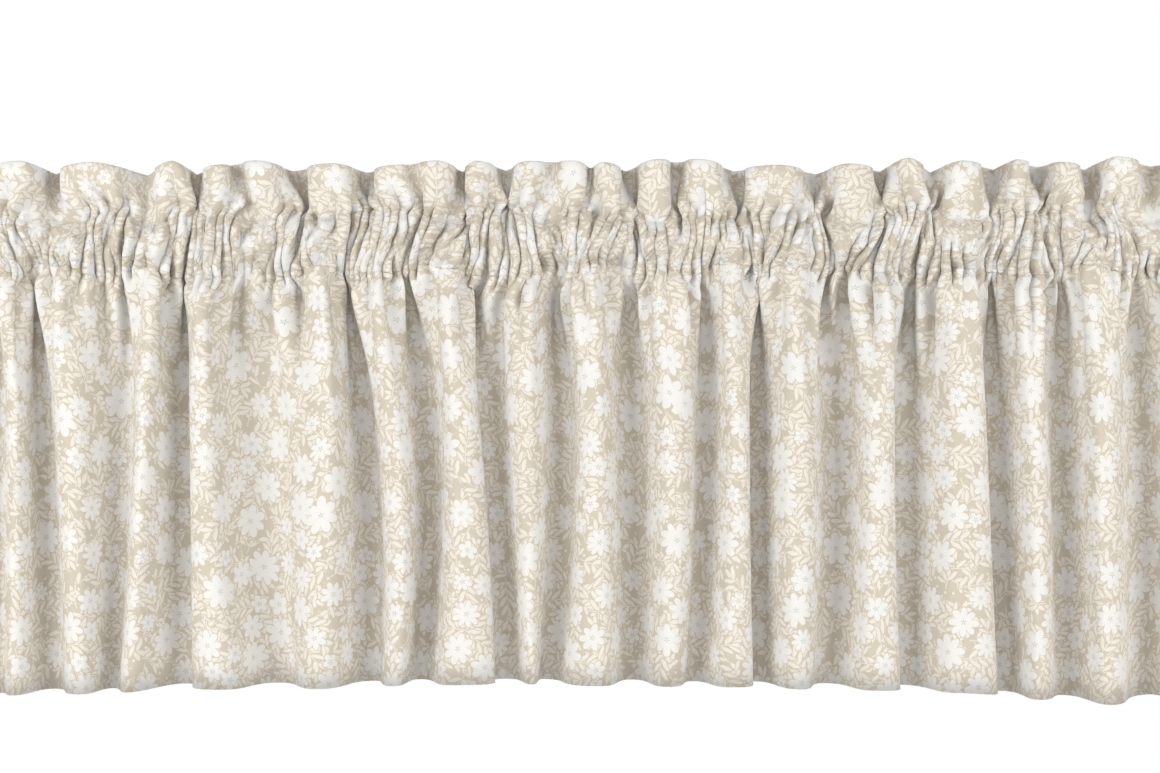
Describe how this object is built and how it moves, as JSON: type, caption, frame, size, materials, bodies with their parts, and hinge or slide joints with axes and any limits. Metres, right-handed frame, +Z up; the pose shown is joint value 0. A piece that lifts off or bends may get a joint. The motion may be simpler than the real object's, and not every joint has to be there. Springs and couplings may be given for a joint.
{
  "type": "window valance",
  "caption": "Short gathered curtain with a stand-up ruffle, an open rod pocket and a folded skirt, in floral printed cloth.",
  "frame": {"origin": "middle of the ruffle's top edge, midway between the pocket's front and back walls", "axes": "+X along the rod to the right as seen from the room, +Y from the room towards the window, +Z up"},
  "size_m": [0.9133, 0.039, 0.3943],
  "materials": {
    "printed_cloth": "matt printed cotton blend",
    "thread": "matt sewing thread"
  },
  "bodies": {
    "root": {"heading": "printed_cloth", "panel": "printed_cloth"}
  },
  "joints": []
}
